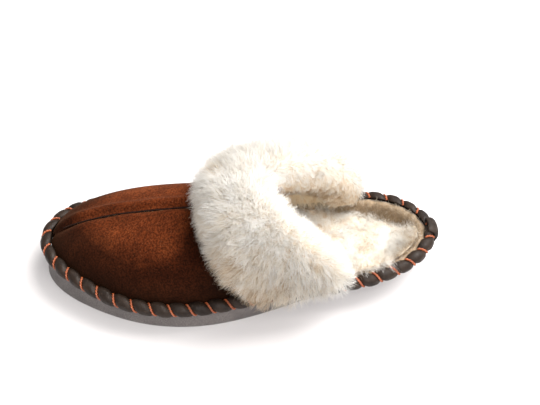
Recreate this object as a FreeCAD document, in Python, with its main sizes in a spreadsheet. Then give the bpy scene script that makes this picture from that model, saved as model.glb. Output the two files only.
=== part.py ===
import FreeCAD, Part
import math
import os
from FreeCAD import Placement, Rotation, Vector

# A backless sheepskin moccasin slipper for the left foot, as separate pieces: a soft leather
# sole turned up into a low wall, a two-piece suede vamp with a centre seam, wool inside, a big
# turned-back sheepskin cuff, and a rolled leather binding whip-stitched over the edge.
#
# Frame, in millimetres: the origin is on the ground at the middle of the welt, the toe points
# to -Y, the heel to +Y, the outer side of the foot to +X, and up is +Z.
# "Share" is a place on the welt, from 0 at the heel's middle, round the outer side to the toe
# and back along the inner side to 1. "Depth" is how far inside the vamp's outer face a layer
# lies; negative depths lie outside it.

DIMENSIONS = {
    "welt_length": 262,
    "welt_width": 98,
    "sheer_low": 22,
    "sheer_heel_rise": 8,
    "sheer_toe_rise": 6,
    "sheer_low_share": 0.68,
    "wall_inset": 3.2,
    "spine_end": 46,
    "toe_swing": 10,
    "sole_leather": 2,
    "clearance": 0.2,
    "pad_thickness": 6,
    "hide_thickness": 1.5,
    "footbed_pile": 12.5,
    "vamp_leather": 1.6,
    "vamp_pile": 5,
    "heel_pile": 4.5,
    "heel_lining_rise": 2,
    "seam_groove": 2.6,
    "seam_lip": 5,
    "cuff_hide_front": 34,
    "cuff_hide_fold": 7.5,
    "cuff_hide_inside": 10,
    "cuff_wool_height": 25,
    "cuff_wool_front": 42,
    "cuff_wool_spread": 26,
    "cuff_wool_back": 12,
    "cuff_wool_back_outer_arm": 16,
    "cuff_wool_back_inner_arm": 6,
    "binding_radius": 4.5,
    "binding_leather": 1.5,
    "binding_mouth": 50,
    "thread_diameter": 1.4,
    "stitch_pitch": 12.6,
    "stitch_slant": 7,
    "stitch_drop": 9,
    "seam_thread": 0.8,
    "seam_thread_lift": 1.0,
    "cuff_thread_lift": 1.6,
    "tab_width": 13,
    "tab_leather": 1.6,
    "tab_stand_off": 0.6,
    "tab_drop": 13,
}

# The welt's centre line seen from above: (distance from the heel as a share of the length,
# distance from the middle as a share of half the width, mm by which the sole's edge on the
# ground lies inside the top of its wall, negative where the wall flares out).
WELT_OUTLINE = [
    (0.000, 0.00, 20),
    (0.035, 0.39, 17.5),
    (0.120, 0.67, 14.5),
    (0.270, 0.82, 10),
    (0.450, 0.90, -1),
    (0.620, 1.02, -2.5),
    (0.760, 0.93, -2),
    (0.900, 0.53, -4.5),
    (1.000, -0.245, -7.5),
    (0.965, -0.65, -6),
    (0.880, -0.90, -4),
    (0.740, -1.00, -2.5),
    (0.580, -0.92, -1),
    (0.420, -0.80, 4),
    (0.260, -0.775, 11),
    (0.120, -0.67, 14.5),
    (0.035, -0.40, 17.5),
]

# The centre seam: (distance from the heel as a share of the length, x, height), in mm.
SEAM_LINE = [
    (0.30, 8, 84),
    (0.41, 7, 82),
    (0.50, 6, 78),
    (0.62, 2, 71),
    (0.75, -5, 61),
    (0.85, -10, 51.5),
    (0.93, -12, 41.5),
    (0.985, -12, 31.5),
]

THROAT = 0.44          # where the seam meets the vamp's top line, from the heel
SEAM_TIP = 0.985       # where the seam ends at the toe
ARM_ENDS = {1: 0.30, -1: 0.22}   # where the top line meets the welt, outer and inner side
ROUNDNESS = 0.85       # below 1 the vamp is fuller than an ellipse
RAY_BENDS = {1: 2.5, -1: 1.6}    # how late the vamp's cross lines turn back to the welt

DOCUMENT = FreeCAD.newDocument("moccasin")
PIECES = []


def make_sheet():
    """Put the driving dimensions into a spreadsheet, one alias each."""
    sheet = DOCUMENT.addObject("Spreadsheet::Sheet", "dimensions")
    for row, (alias, value) in enumerate(DIMENSIONS.items(), start=1):
        sheet.set("A%d" % row, alias)
        sheet.set("B%d" % row, str(value))
        sheet.setAlias("B%d" % row, alias)
    DOCUMENT.recompute()
    return sheet


SHEET = make_sheet()


def size(alias):
    """A driving dimension, read from the sheet."""
    return float(SHEET.get(alias))


def add_piece(name, shape):
    """A sub-part whose shape no feature of the document makes."""
    piece = DOCUMENT.addObject("Part::Feature", name)
    piece.Label = name
    piece.Shape = shape
    piece.Placement = Placement()
    PIECES.append(piece)
    return piece


# ---------------------------------------------------------------- lines of the shoe


def welt_edge():
    """The welt's centre line as a closed edge; its z holds the sole's inset at the ground."""
    half_width = size("welt_width") / 2
    points = []
    for along, across, inset in WELT_OUTLINE:
        y = (0.5 - along) * size("welt_length")
        points.append(Vector(across * half_width, y, inset))
    curve = Part.BSplineCurve()
    curve.interpolate(Points=points, PeriodicFlag=True)
    return curve.toShape()


def seam_curve():
    """The centre seam, with the distance from the heel as its parameter."""
    points = []
    for along, x, height in SEAM_LINE:
        points.append(Vector(x, (0.5 - along) * size("welt_length"), height))
    curve = Part.BSplineCurve()
    curve.interpolate(Points=points, Parameters=[row[0] for row in SEAM_LINE])
    return curve


WELT = welt_edge()
SEAM = seam_curve()


def sheer(y):
    """Height of the welt's centre: lowest at the ball, higher at the heel and the toe."""
    along = 0.5 - y / size("welt_length")
    low = size("sheer_low_share")
    if along < low:
        return size("sheer_low") + size("sheer_heel_rise") * ((low - along) / low) ** 2
    return size("sheer_low") + size("sheer_toe_rise") * ((along - low) / (1 - low)) ** 2


def welt_at(share):
    """Place, outward direction and ground inset of the welt at a share of its way round."""
    parameter = WELT.getParameterByLength((share % 1.0) * WELT.Length)
    point = WELT.valueAt(parameter)
    tangent = WELT.tangentAt(parameter)
    outward = Vector(-tangent.y, tangent.x, 0).normalize()
    return Vector(point.x, point.y, 0), outward, point.z


def share_of(along, inner_side):
    """Share of the welt at a distance from the heel, on the outer or the inner side."""
    target = (0.5 - along) * size("welt_length")
    low, high = (TOE_SHARE, 1.0) if inner_side else (0.0, TOE_SHARE)
    for _ in range(30):
        middle = (low + high) / 2
        if (welt_at(middle)[0].y < target) == inner_side:
            low = middle
        else:
            high = middle
    return low


TOE_SHARE = min((i / 800 for i in range(800)), key=lambda share: welt_at(share)[0].y)
ARM_SHARES = {side: share_of(along, side < 0) for side, along in ARM_ENDS.items()}
VAMP_SHEET_LENGTHS = {
    side: abs(TOE_SHARE - ARM_SHARES[side]) * WELT.Length for side in (1, -1)
}
SEAM_LENGTH = (SEAM_TIP - THROAT) * size("welt_length")


def from_spine(point):
    """Direction from the sole's spine, a line from the heel's middle to the toes' middle."""
    reach = size("welt_length") / 2 - size("spine_end")
    y = max(-reach, min(reach, point.y))
    spine = Vector(size("toe_swing") * (y - reach) / (2 * reach), y, 0)
    return (point - spine).normalize()


def wall_point(share, height, extra=0.0):
    """A point of the sole's outer wall, or extra mm inside it."""
    point, outward, inset = welt_at(share)
    rise = min(height / sheer(point.y), 1.0)
    place = point - outward * (size("wall_inset") + extra)
    place -= from_spine(point) * (inset * (1 - rise) ** (2 if inset > 0 else 1.6))
    return Vector(place.x, place.y, height)


def layer_point(share, base, top, extra):
    """A point extra mm inside the wall, clear of it all the way from base to top."""
    inset = welt_at(share)[2]
    place = wall_point(share, base if inset > 0 else top, extra)
    return Vector(place.x, place.y, base)


def outline_at(base, top, extra=0.0):
    """The sole's closed outline from base to top, or extra mm inside it, as two half
    curves at base."""
    count = 40
    points = [layer_point(i / count, base, top, extra) for i in range(count)]
    curve = Part.BSplineCurve()
    curve.interpolate(Points=points, PeriodicFlag=True)
    middle = curve.parameter(points[count // 2])
    halves = []
    for start, end in ((curve.FirstParameter, middle), (middle, curve.LastParameter)):
        half = curve.copy()
        half.segment(start, end)
        halves.append(half)
    return halves


def outline_wire(height, extra=0.0):
    """The same outline as a closed wire."""
    return Part.Wire([half.toShape() for half in outline_at(height, height, extra)])


def vamp_point(side, along, across, depth):
    """A point of the vamp: along 0 is its top line and 1 the toe, across 0 is the welt and 1
    the seam, on the outer (side 1) or the inner (side -1) panel."""
    share = ARM_SHARES[side] + (TOE_SHARE - ARM_SHARES[side]) * along
    point, outward, _ = welt_at(share)
    foot = point - outward * (size("wall_inset") + depth)
    foot.z = sheer(foot.y) + size("clearance")
    tip = SEAM_TIP - max(depth, 0) / size("welt_length")
    crest = SEAM.value(THROAT + (tip - THROAT) * along)
    crest.z -= depth
    angle = across * math.pi / 2
    flat = math.cos(angle) ** ROUNDNESS if across < 1 else 0.0
    raised = math.sin(angle) ** ROUNDNESS
    place = Vector(crest.x + (foot.x - crest.x) * flat,
                   crest.y + (foot.y - crest.y) * flat ** RAY_BENDS[side],
                   foot.z + (crest.z - foot.z) * raised)
    if depth >= 0:
        away = math.hypot(place.x - crest.x, place.y - crest.y)
        width = math.hypot(foot.x - crest.x, foot.y - crest.y)
        sink = size("seam_groove") * min(1.0, width / 30)
        place.z -= sink * math.exp(-((away / size("seam_lip")) ** 2) * 3)
    return place


def cuff_point(side, forward, across, depth):
    """A point near the top line: forward mm ahead of it, measured along the vamp."""
    length = VAMP_SHEET_LENGTHS[side] + (SEAM_LENGTH - VAMP_SHEET_LENGTHS[side]) * across
    return vamp_point(side, forward / length, across, depth)


# ---------------------------------------------------------------- ways to make a solid


def surface_through(grid):
    """A smooth surface through rows of points."""
    surface = Part.BSplineSurface()
    surface.interpolate(grid)
    return surface


def solid_between(outer_grid, inner_grid):
    """A closed solid between two surfaces with the same rows and columns."""
    outer = surface_through(outer_grid)
    inner = surface_through(inner_grid)
    faces = [outer.toShape(), inner.toShape()]
    u_start, u_end, v_start, v_end = outer.bounds()
    s_start, s_end, r_start, r_end = inner.bounds()
    borders = [
        (outer.uIso(u_start), inner.uIso(s_start)),
        (outer.uIso(u_end), inner.uIso(s_end)),
        (outer.vIso(v_start), inner.vIso(r_start)),
        (outer.vIso(v_end), inner.vIso(r_end)),
    ]
    for one, other in borders:
        strip = Part.BSplineSurface()
        strip.buildFromNSections([one, other])
        faces.append(strip.toShape())
    shell = Part.makeShell(faces)
    shell.sewShape()
    solid = Part.makeSolid(shell)
    if solid.Volume < 0:
        solid.reverse()
    return solid


def tube(points, radius):
    """A round thread through a row of points, with flat ends."""
    curve = Part.BSplineCurve()
    curve.interpolate(Points=points)
    edge = curve.toShape()
    count = len(points)
    rings = []
    for i in range(count):
        parameter = edge.getParameterByLength(edge.Length * i / (count - 1))
        ring = Part.Circle(edge.valueAt(parameter), edge.tangentAt(parameter), radius)
        rings.append(Part.Wire([ring.toShape()]))
    return Part.makeLoft(rings, True, False)


def spread(start, end, count):
    """Evenly spaced values from start to end."""
    return [start + (end - start) * i / (count - 1) for i in range(count)]


def even_steps(path, count):
    """Points at equal steps along a bent path of pairs."""
    reach = [0.0]
    for (a, b), (c, d) in zip(path, path[1:]):
        reach.append(reach[-1] + math.hypot(c - a, d - b))
    steps = []
    for target in spread(0.0, reach[-1], count):
        i = max(k for k in range(len(path) - 1) if reach[k] <= target + 1e-9)
        part = (target - reach[i]) / (reach[i + 1] - reach[i])
        steps.append((path[i][0] + (path[i + 1][0] - path[i][0]) * part,
                      path[i][1] + (path[i + 1][1] - path[i][1]) * part))
    return steps


# ---------------------------------------------------------------- sole


def make_outsole():
    """Soft leather turned up all round: a hull, less the same hull one leather inside it,
    cut off along the sheer line just under the welt's centre."""
    leather = size("sole_leather")
    top = size("sheer_low") + size("sheer_heel_rise") + 6
    outer_heights = [0, 4, 9, 14, 19, 24, 29, top]
    inner_heights = [leather] + outer_heights[1:]
    outer_wires = [outline_wire(z) for z in outer_heights]
    inner_wires = [outline_wire(z, leather) for z in inner_heights]
    hull = DOCUMENT.addObject("Part::Feature", "hull")
    hull.Shape = Part.makeLoft(outer_wires, True, False)
    hollow = DOCUMENT.addObject("Part::Feature", "hollow")
    hollow.Shape = Part.makeLoft(inner_wires, True, False)
    above = make_above_sheer(top + 10)
    waste = DOCUMENT.addObject("Part::MultiFuse", "sole_waste")
    waste.Shapes = [hollow, above]
    outsole = DOCUMENT.addObject("Part::Cut", "outsole")
    outsole.Base = hull
    outsole.Tool = waste
    outsole.Label = "outsole"
    PIECES.append(outsole)


def make_above_sheer(top):
    """The space above the sheer line, as a block with a curved underside."""
    reach = size("welt_length") / 2 + 15
    points = []
    for y in spread(-reach, reach, 15):
        points.append(Vector(-80, y, sheer(y) - size("clearance")))
    curve = Part.BSplineCurve()
    curve.interpolate(Points=points)
    corners = [points[-1], Vector(-80, reach, top), Vector(-80, -reach, top), points[0]]
    wire = Part.Wire([curve.toShape()] + Part.makePolygon(corners).Edges)
    block = DOCUMENT.addObject("Part::Feature", "above_sheer")
    block.Shape = Part.Face(wire).extrude(Vector(160, 0, 0))
    return block


def role_plane(body, role):
    """One of a body's own origin planes."""
    return next(plane for plane in body.Origin.OriginFeatures if plane.Role == role)


def make_flat_layer(name, curves, height, thickness):
    """A flat layer cut to an outline and laid at a height; both are sheet expressions."""
    body = DOCUMENT.addObject("PartDesign::Body", name)
    body.Label = name
    sketch = body.newObject("Sketcher::SketchObject", name + "_outline")
    sketch.AttachmentSupport = [(role_plane(body, "XY_Plane"), "")]
    sketch.MapMode = "FlatFace"
    sketch.setExpression("AttachmentOffset.Base.z", height)
    sketch.addGeometry(curves, False)
    pad = body.newObject("PartDesign::Pad", name + "_pad")
    pad.Profile = sketch
    pad.setExpression("Length", thickness)
    PIECES.append(body)


def flat_outline(base, thickness, extra):
    """The outline of a flat layer inside the sole, laid in the sketch plane."""
    halves = outline_at(base, base + thickness, extra)
    for half in halves:
        half.translate(Vector(0, 0, -base))
    return halves


def make_footbed():
    """Foam pad, then the footbed's sheepskin: its hide, and its wool as a block."""
    leather = size("sole_leather")
    gap = size("clearance")
    pad_base = leather + gap
    hide_base = pad_base + size("pad_thickness") + gap
    wool_base = hide_base + size("hide_thickness") + gap
    pad_height = "dimensions.sole_leather + dimensions.clearance"
    hide_height = pad_height + " + dimensions.pad_thickness + dimensions.clearance"
    wool_height = hide_height + " + dimensions.hide_thickness + dimensions.clearance"
    wall = leather + 3 * gap
    wool_wall = wall + size("heel_pile") + 2 * gap
    layers = [
        ("cushion_pad", pad_base, wall, pad_height, "pad_thickness"),
        ("footbed_hide", hide_base, wall, hide_height, "hide_thickness"),
        ("footbed_wool", wool_base, wool_wall, wool_height, "footbed_pile"),
    ]
    for name, base, inside, height, thickness in layers:
        outline = flat_outline(base, size(thickness), inside)
        make_flat_layer(name, outline, height, "dimensions." + thickness)
    return wool_base


def make_heel_lining(base):
    """The short-wool strip against the inside of the wall, round the heel to both arms."""
    first = share_of(0.42, False)
    last = share_of(0.42, True) - 1.0
    outer_extra = size("sole_leather") + size("clearance") * 2
    inner_extra = outer_extra + size("heel_pile")
    outer_grid = []
    inner_grid = []
    for share in spread(last, first, 25):
        point, _, _ = welt_at(share)
        top = sheer(point.y) + size("heel_lining_rise")
        heights = spread(base, top, 5)
        outer_grid.append([wall_point(share, z, outer_extra) for z in heights])
        inner_grid.append([wall_point(share, z, inner_extra) for z in heights])
    add_piece("heel_lining", solid_between(outer_grid, inner_grid))


# ---------------------------------------------------------------- upper


def make_vamp_sheet(name, side, along, across, depth, thickness):
    """One layer of one half of the vamp, between two depths."""
    grids = []
    for level in (depth, depth + thickness):
        rows = [[vamp_point(side, u, v, level) for v in across] for u in along]
        grids.append(rows)
    add_piece(name, solid_between(grids[0], grids[1]))


def make_vamp():
    """Two suede panels that meet at the centre seam, each with its wool inside."""
    leather = size("vamp_leather")
    along = spread(0.0, 0.975, 16)
    across = [0, 0.08, 0.18, 0.32, 0.48, 0.62, 0.75, 0.85, 0.92, 0.96, 0.992]
    pile_along = spread(0.012, 0.86, 12)
    pile_across = [0.05, 0.15, 0.3, 0.45, 0.6, 0.75, 0.87, 0.96]
    for name, side in (("lateral", 1), ("medial", -1)):
        make_vamp_sheet("vamp_panel_" + name, side, along, across, 0, leather)
        make_vamp_sheet("vamp_wool_" + name, side, pile_along, pile_across,
                        leather + size("clearance") * 2, size("vamp_pile"))


def make_centre_seam_thread():
    """The sewing thread that lies in the groove between the two panels."""
    radius = size("seam_thread") / 2
    points = []
    for along in spread(0.02, 0.94, 14):
        edge = vamp_point(1, along, 0.992, 0)
        points.append(Vector(edge.x, edge.y, edge.z + radius + size("seam_thread_lift")))
    add_piece("centre_seam_thread", tube(points, radius))


def arm_stations(lowest):
    """Where the cuff's cross-sections stand: up the outer arm, over, and down the inner."""
    climb = [lowest, 0.2, 0.32, 0.46, 0.6, 0.74, 0.84, 0.91, 0.96]
    return [(1, v) for v in climb] + [(1, 1.0)] + [(-1, v) for v in reversed(climb)]


def make_cuff_hide():
    """The cuff's skin: over the vamp's outside, round the top line and a little way inside."""
    layers = size("vamp_leather") + size("vamp_pile") + size("clearance") * 2
    hide = size("hide_thickness")
    gap = size("clearance") * 2
    fold = size("cuff_hide_fold")
    front = size("cuff_hide_front")
    inside = size("cuff_hide_inside")
    outer_path = [(front, -gap - hide), (2, -gap - hide), (-fold * 0.6, -gap - hide * 0.3),
                  (-fold, layers / 2), (-fold * 0.6, layers + gap + hide * 0.3),
                  (1, layers + gap + hide), (inside, layers + gap + hide)]
    bend = fold - hide
    inner_path = [(front, -gap), (-bend * 0.25, -gap), (-bend * 0.75, layers * 0.1),
                  (-bend, layers / 2), (-bend * 0.75, layers * 0.9),
                  (-bend * 0.25, layers + gap), (inside, layers + gap)]
    grids = []
    for path in (outer_path, inner_path):
        rows = []
        steps = even_steps(path, 28)
        for side, across in arm_stations(0.12):
            rows.append([cuff_point(side, forward, across, depth) for forward, depth in steps])
        grids.append(rows)
    add_piece("cuff_hide", solid_between(grids[0], grids[1]))
    return layers + gap + hide


def wool_fullness(side, across):
    """The cuff's wool stands tallest over the instep and is flatter down the arms, more so
    on the outer side."""
    lowest = 0.48 if side > 0 else 0.60
    return lowest + (1 - lowest) * math.sin(min(across, 1.0) * math.pi / 2)


def make_cuff_wool(inside_depth):
    """The cuff's long wool as one closed roll, clear of its own skin. It spreads further
    ahead and behind down the arms than over the instep."""
    tall = size("cuff_wool_height")
    fold = size("cuff_hide_fold")
    skin = size("hide_thickness") + size("clearance") * 4
    outer_grid = []
    inner_grid = []
    for side, across in arm_stations(0.10):
        lowness = 1 - math.sin(across * math.pi / 2)
        front = size("cuff_wool_front") + size("cuff_wool_spread") * lowness ** 0.6
        arm = "cuff_wool_back_outer_arm" if side > 0 else "cuff_wool_back_inner_arm"
        back = size("cuff_wool_back") + size(arm) * lowness
        outer_path = [(front, 0.12), (front * 0.96, 0.55), (front * 0.8, 0.9),
                      (front * 0.45, 1.0), (0, 1.0), (-back * 0.65, 0.78), (-back, 0.36),
                      (-back * 0.98, -0.02)]
        inner_path = [(front, skin), (front * 0.9, skin), (front * 0.7, skin),
                      (front * 0.4, skin), (0, skin), (-fold * 0.8, skin * 0.9),
                      (-fold - 1.6, 0), (-fold - 2.2, -inside_depth * 0.45)]
        height = (tall - skin) * wool_fullness(side, across)
        raised = [(forward, skin + height * part) for forward, part in outer_path]
        outer_grid.append([cuff_point(side, forward, across, -level)
                           for forward, level in even_steps(raised, 18)])
        inner_grid.append([cuff_point(side, forward, across, -level)
                           for forward, level in even_steps(inner_path, 18)])
    add_piece("cuff_wool", solid_between(outer_grid, inner_grid))


def make_cuff_seam_thread(inside_depth):
    """The thread that holds the cuff's turned-in edge to the vamp's inside."""
    radius = size("seam_thread") / 2
    forward = size("cuff_hide_inside") * 0.5
    depth = inside_depth + radius + size("cuff_thread_lift")
    points = [cuff_point(side, forward, across, depth) for side, across in arm_stations(0.14)]
    add_piece("cuff_seam_thread", tube(points, radius))


# ---------------------------------------------------------------- welt


def welt_place(share, outward_mm, up_mm, along_mm=0.0):
    """A point given in the welt's own section: outward, up and along the welt."""
    point, outward, _ = welt_at(share)
    along = Vector(outward.y, -outward.x, 0)
    place = point + outward * outward_mm + along * along_mm
    return Vector(place.x, place.y, sheer(point.y) + up_mm)


def round_place(share, radius, degrees, along_mm=0.0):
    """A point round the welt's centre; 0 degrees is outward and 90 is up."""
    angle = math.radians(degrees)
    return welt_place(share, radius * math.cos(angle), radius * math.sin(angle), along_mm)


def make_welt_binding():
    """A leather strip folded over the joined edges, open towards the foot, in one length
    whose ends meet at the heel."""
    outer = size("binding_radius")
    inner = outer - size("binding_leather")
    limit = 180 - size("binding_mouth")
    sections = []
    for share in spread(0.001, 0.999, 61):
        outside = Part.Arc(*[round_place(share, outer, a) for a in (-limit, 0, limit)])
        inside = Part.Arc(*[round_place(share, inner, a) for a in (limit, 0, -limit)])
        lip = Part.LineSegment(outside.EndPoint, inside.StartPoint)
        other_lip = Part.LineSegment(inside.EndPoint, outside.StartPoint)
        edges = [part.toShape() for part in (outside, lip, inside, other_lip)]
        sections.append(Part.Wire(edges))
    add_piece("welt_binding", Part.makeLoft(sections, True, False))


def stitch_path(share):
    """One whip stitch: from its hole in the sole's wall, out under the binding, round it
    and down to the vamp, leaning along the welt."""
    stand_off = size("thread_diameter") / 2 + size("clearance")
    reach = size("binding_radius") + stand_off
    drop = size("stitch_drop")
    slant = size("stitch_slant")
    point, outward, _ = welt_at(share)
    along = Vector(outward.y, -outward.x, 0)
    path = []
    for fall in (drop, drop * 0.75):
        wall = wall_point(share, sheer(point.y) - fall)
        path.append(wall + outward * stand_off - along * (slant / 2))
    for degrees in (-95, -60, -20, 20, 60, 90, 113):
        lean = slant * ((degrees + 95) / 208 - 0.5)
        path.append(round_place(share, reach, degrees, lean))
    return path


def make_whip_stitches():
    """All the whip stitches, evenly round the welt but for the tab's place at the heel."""
    thread = size("thread_diameter") / 2
    count = round(WELT.Length / size("stitch_pitch"))
    stitches = [tube(stitch_path((i + 0.5) / count), thread) for i in range(count)]
    add_piece("whip_stitches", Part.makeCompound(stitches))


def make_heel_tab():
    """A short leather tab hooked over the binding at the heel, covering where its ends meet:
    a bent strip drawn from the side and padded to its width."""
    body = DOCUMENT.addObject("PartDesign::Body", "heel_tab")
    body.Label = "heel_tab"
    sketch = body.newObject("Sketcher::SketchObject", "heel_tab_side")
    sketch.AttachmentSupport = [(role_plane(body, "YZ_Plane"), "")]
    sketch.MapMode = "FlatFace"
    near = size("binding_radius") + size("tab_stand_off")
    far = near + size("tab_leather")
    middle = welt_place(0.0, 0, 0)
    drop = size("tab_drop")
    hang = near * math.sin(math.radians(60))
    edge_far = far * math.sin(math.radians(60))

    def at(radius, degrees):
        angle = math.radians(degrees)
        return Vector(middle.y + radius * math.cos(angle), middle.z + radius * math.sin(angle), 0)

    # The strip's lower end leans in towards the wall.
    foot_in = at(near, -30) + Vector(-hang * 0.55, -drop, 0)
    foot_out = at(far, -30) + Vector(-edge_far * 0.55, -drop, 0)
    outside = Part.Arc(at(far, 100), at(far, 40), at(far, -30))
    inside = Part.Arc(at(near, -30), at(near, 40), at(near, 100))
    parts = [
        outside,
        Part.LineSegment(at(far, -30), foot_out),
        Part.LineSegment(foot_out, foot_in),
        Part.LineSegment(foot_in, at(near, -30)),
        inside,
        Part.LineSegment(at(near, 100), at(far, 100)),
    ]
    sketch.addGeometry(parts, False)
    pad = body.newObject("PartDesign::Pad", "heel_tab_pad")
    pad.Profile = sketch
    pad.Midplane = True
    pad.setExpression("Length", "dimensions.tab_width")
    body.Placement = Placement(Vector(middle.x, 0, 0), Rotation())
    PIECES.append(body)


# ---------------------------------------------------------------- build


def check_document():
    """Stop if any object failed or any sub-part's shape is missing or not valid."""
    for thing in DOCUMENT.Objects:
        if "Invalid" in thing.State or "Error" in thing.State:
            raise RuntimeError("%s failed: %s" % (thing.Name, thing.State))
    for piece in PIECES:
        shape = piece.Shape
        if shape.isNull() or not shape.isValid():
            raise RuntimeError("%s has no valid shape" % piece.Label)
        if not shape.Solids or shape.Volume <= 0:
            raise RuntimeError("%s is not solid" % piece.Label)


def write_pieces():
    """One STEP file for each sub-part, named after it."""
    os.makedirs("parts", exist_ok=True)
    for piece in PIECES:
        piece.Shape.exportStep("parts/%s.step" % piece.Label)
        box = piece.Shape.BoundBox
        print("%-20s %3d solids %9.0f mm3  x %7.2f %7.2f  y %8.2f %8.2f  z %6.2f %6.2f" % (
            piece.Label, len(piece.Shape.Solids), piece.Shape.Volume,
            box.XMin, box.XMax, box.YMin, box.YMax, box.ZMin, box.ZMax))


make_outsole()
footbed_top = make_footbed()
make_heel_lining(footbed_top)
make_vamp()
make_centre_seam_thread()
skin_inside = make_cuff_hide()
make_cuff_wool(skin_inside)
make_cuff_seam_thread(skin_inside)
make_welt_binding()
make_whip_stitches()
make_heel_tab()
DOCUMENT.recompute()
check_document()
write_pieces()
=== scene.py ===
import math

import bmesh
import bpy
import numpy as np
from mathutils import Matrix, Vector, noise
from mathutils.kdtree import KDTree


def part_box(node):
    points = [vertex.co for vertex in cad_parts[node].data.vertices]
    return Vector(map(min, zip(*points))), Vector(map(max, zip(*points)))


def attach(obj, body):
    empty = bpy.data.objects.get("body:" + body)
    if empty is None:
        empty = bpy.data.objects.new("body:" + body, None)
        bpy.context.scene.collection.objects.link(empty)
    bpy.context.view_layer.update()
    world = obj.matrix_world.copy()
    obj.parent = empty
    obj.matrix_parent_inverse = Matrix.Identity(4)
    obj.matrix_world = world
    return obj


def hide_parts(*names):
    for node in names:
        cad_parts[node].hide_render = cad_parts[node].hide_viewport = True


# The left slipper of a pair of sheepskin moccasins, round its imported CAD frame.
# Shapes are worked out in millimetres in the frame's own axes (toe -Y, heel +Y, outer side +X)
# and become metres when a mesh is made.

MM = 0.001
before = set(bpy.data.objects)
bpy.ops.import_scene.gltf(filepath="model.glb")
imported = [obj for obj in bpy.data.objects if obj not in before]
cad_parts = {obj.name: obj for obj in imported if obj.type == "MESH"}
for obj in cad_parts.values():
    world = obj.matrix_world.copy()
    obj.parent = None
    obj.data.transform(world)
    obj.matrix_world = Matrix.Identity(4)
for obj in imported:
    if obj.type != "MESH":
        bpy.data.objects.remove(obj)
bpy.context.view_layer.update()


def node_box(name):
    """A CAD node's lowest and highest corners, in millimetres."""
    low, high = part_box(name)
    return np.array(low) / MM, np.array(high) / MM


# ---- sizes, in millimetres

# In dictionaries 1 is the outer side of the foot and -1 the inner.
WELT_LENGTH = 262.0
HALF_WIDTH = 49.0
# The welt's centre is lowest at LOW_SHARE of the length and rises to the heel and the toe.
SHEER_LOW = 22.0
HEEL_RISE = 8.0
TOE_RISE = 6.0
LOW_SHARE = 0.68
# The wall stands a little inside the welt's centre. The sole's spine ends short of the heel
# and the toe, and swings inward towards the toe.
WALL_INSET = 3.2
SPINE_REACH = WELT_LENGTH / 2 - 46
TOE_SWING = 10.0
LEATHER = 2.0
VAMP_LEATHER = 1.6
# The binding's radius and leather, and the stitches over it: how many, how far each leans
# and how far below the welt's centre it starts; then half the thread's thickness.
BINDING = 4.5
BINDING_LEATHER = 1.5
STITCHES = 48
SLANT = 7.0
DROP = 9.0
THREAD = 0.7
# Shares of the length from the heel: the two ends of the centre seam, and the top line's
# ends on each side. Then how rounded the vamp is, and how far its rays bend towards the heel.
THROAT = 0.44
SEAM_TIP = 0.985
ARM_ENDS = {1: 0.30, -1: 0.22}
ROUNDNESS = 0.85
RAY_BENDS = {1: 2.5, -1: 1.6}

# (share of the length from the heel, share of half the width, ground inset), as in the CAD.
WELT_OUTLINE = [
    (0.000, 0.00, 20), (0.035, 0.39, 17.5), (0.120, 0.67, 14.5), (0.270, 0.82, 10),
    (0.450, 0.90, -1), (0.620, 1.02, -2.5), (0.760, 0.93, -2), (0.900, 0.53, -4.5),
    (1.000, -0.245, -7.5), (0.965, -0.65, -6), (0.880, -0.90, -4), (0.740, -1.00, -2.5),
    (0.580, -0.92, -1), (0.420, -0.80, 4), (0.260, -0.775, 11), (0.120, -0.67, 14.5),
    (0.035, -0.40, 17.5),
]

# (share of the length from the heel, x, height) of the centre seam.
SEAM_LINE = [
    (0.30, 8, 84), (0.41, 7, 82), (0.50, 6, 78), (0.62, 2, 71),
    (0.75, -5, 61), (0.85, -10, 51.5), (0.93, -12, 41.5), (0.985, -12, 31.5),
]


# ---- curves


def spline_bends(steps, points, closed):
    """Second derivatives of the smooth cubic curve through points."""
    count = len(points)
    system = np.eye(count)
    right = np.zeros_like(points)
    for i in range(count) if closed else range(1, count - 1):
        before, after = steps[i - 1], steps[i]
        following = (i + 1) % count
        system[i] = 0
        system[i, i - 1] += before
        system[i, i] += 2 * (before + after)
        system[i, following] += after
        rise = (points[following] - points[i]) / after
        right[i] = 6 * (rise - (points[i] - points[i - 1]) / before)
    return np.linalg.solve(system, right)


def spline_span(start, end, bend_start, bend_end, step, t):
    """Points of one span of a cubic curve, at distances t from its start."""
    t = t[:, None]
    left = step - t
    return (bend_start * left ** 3 / (6 * step) + bend_end * t ** 3 / (6 * step)
            + (start / step - bend_start * step / 6) * left
            + (end / step - bend_end * step / 6) * t)


def curve_points(points, steps, count, closed=False):
    """Many points on the smooth curve through points: count on each of its spans."""
    bends = spline_bends(steps, points, closed)
    spans = []
    for i, step in enumerate(steps):
        following = (i + 1) % len(points)
        t = np.linspace(0, step, count, endpoint=False)
        spans.append(spline_span(points[i], points[following], bends[i], bends[following],
                                 step, t))
    return np.concatenate(spans)


def on_curve(points, reach, targets):
    """Places at some distances along an open smooth curve that meets its points at reach."""
    bends = spline_bends(np.diff(reach), points, False)
    places = []
    for target in targets:
        k = min(np.searchsorted(reach, target, "right") - 1, len(points) - 2)
        place = spline_span(points[k], points[k + 1], bends[k], bends[k + 1],
                            reach[k + 1] - reach[k], np.array([target - reach[k]]))
        places.append(place[0])
    return np.array(places)


def length_along(points):
    """Distance along a row of points to each of them."""
    steps = np.linalg.norm(np.diff(points, axis=0), axis=1)
    return np.concatenate([[0], np.cumsum(steps)])


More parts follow.
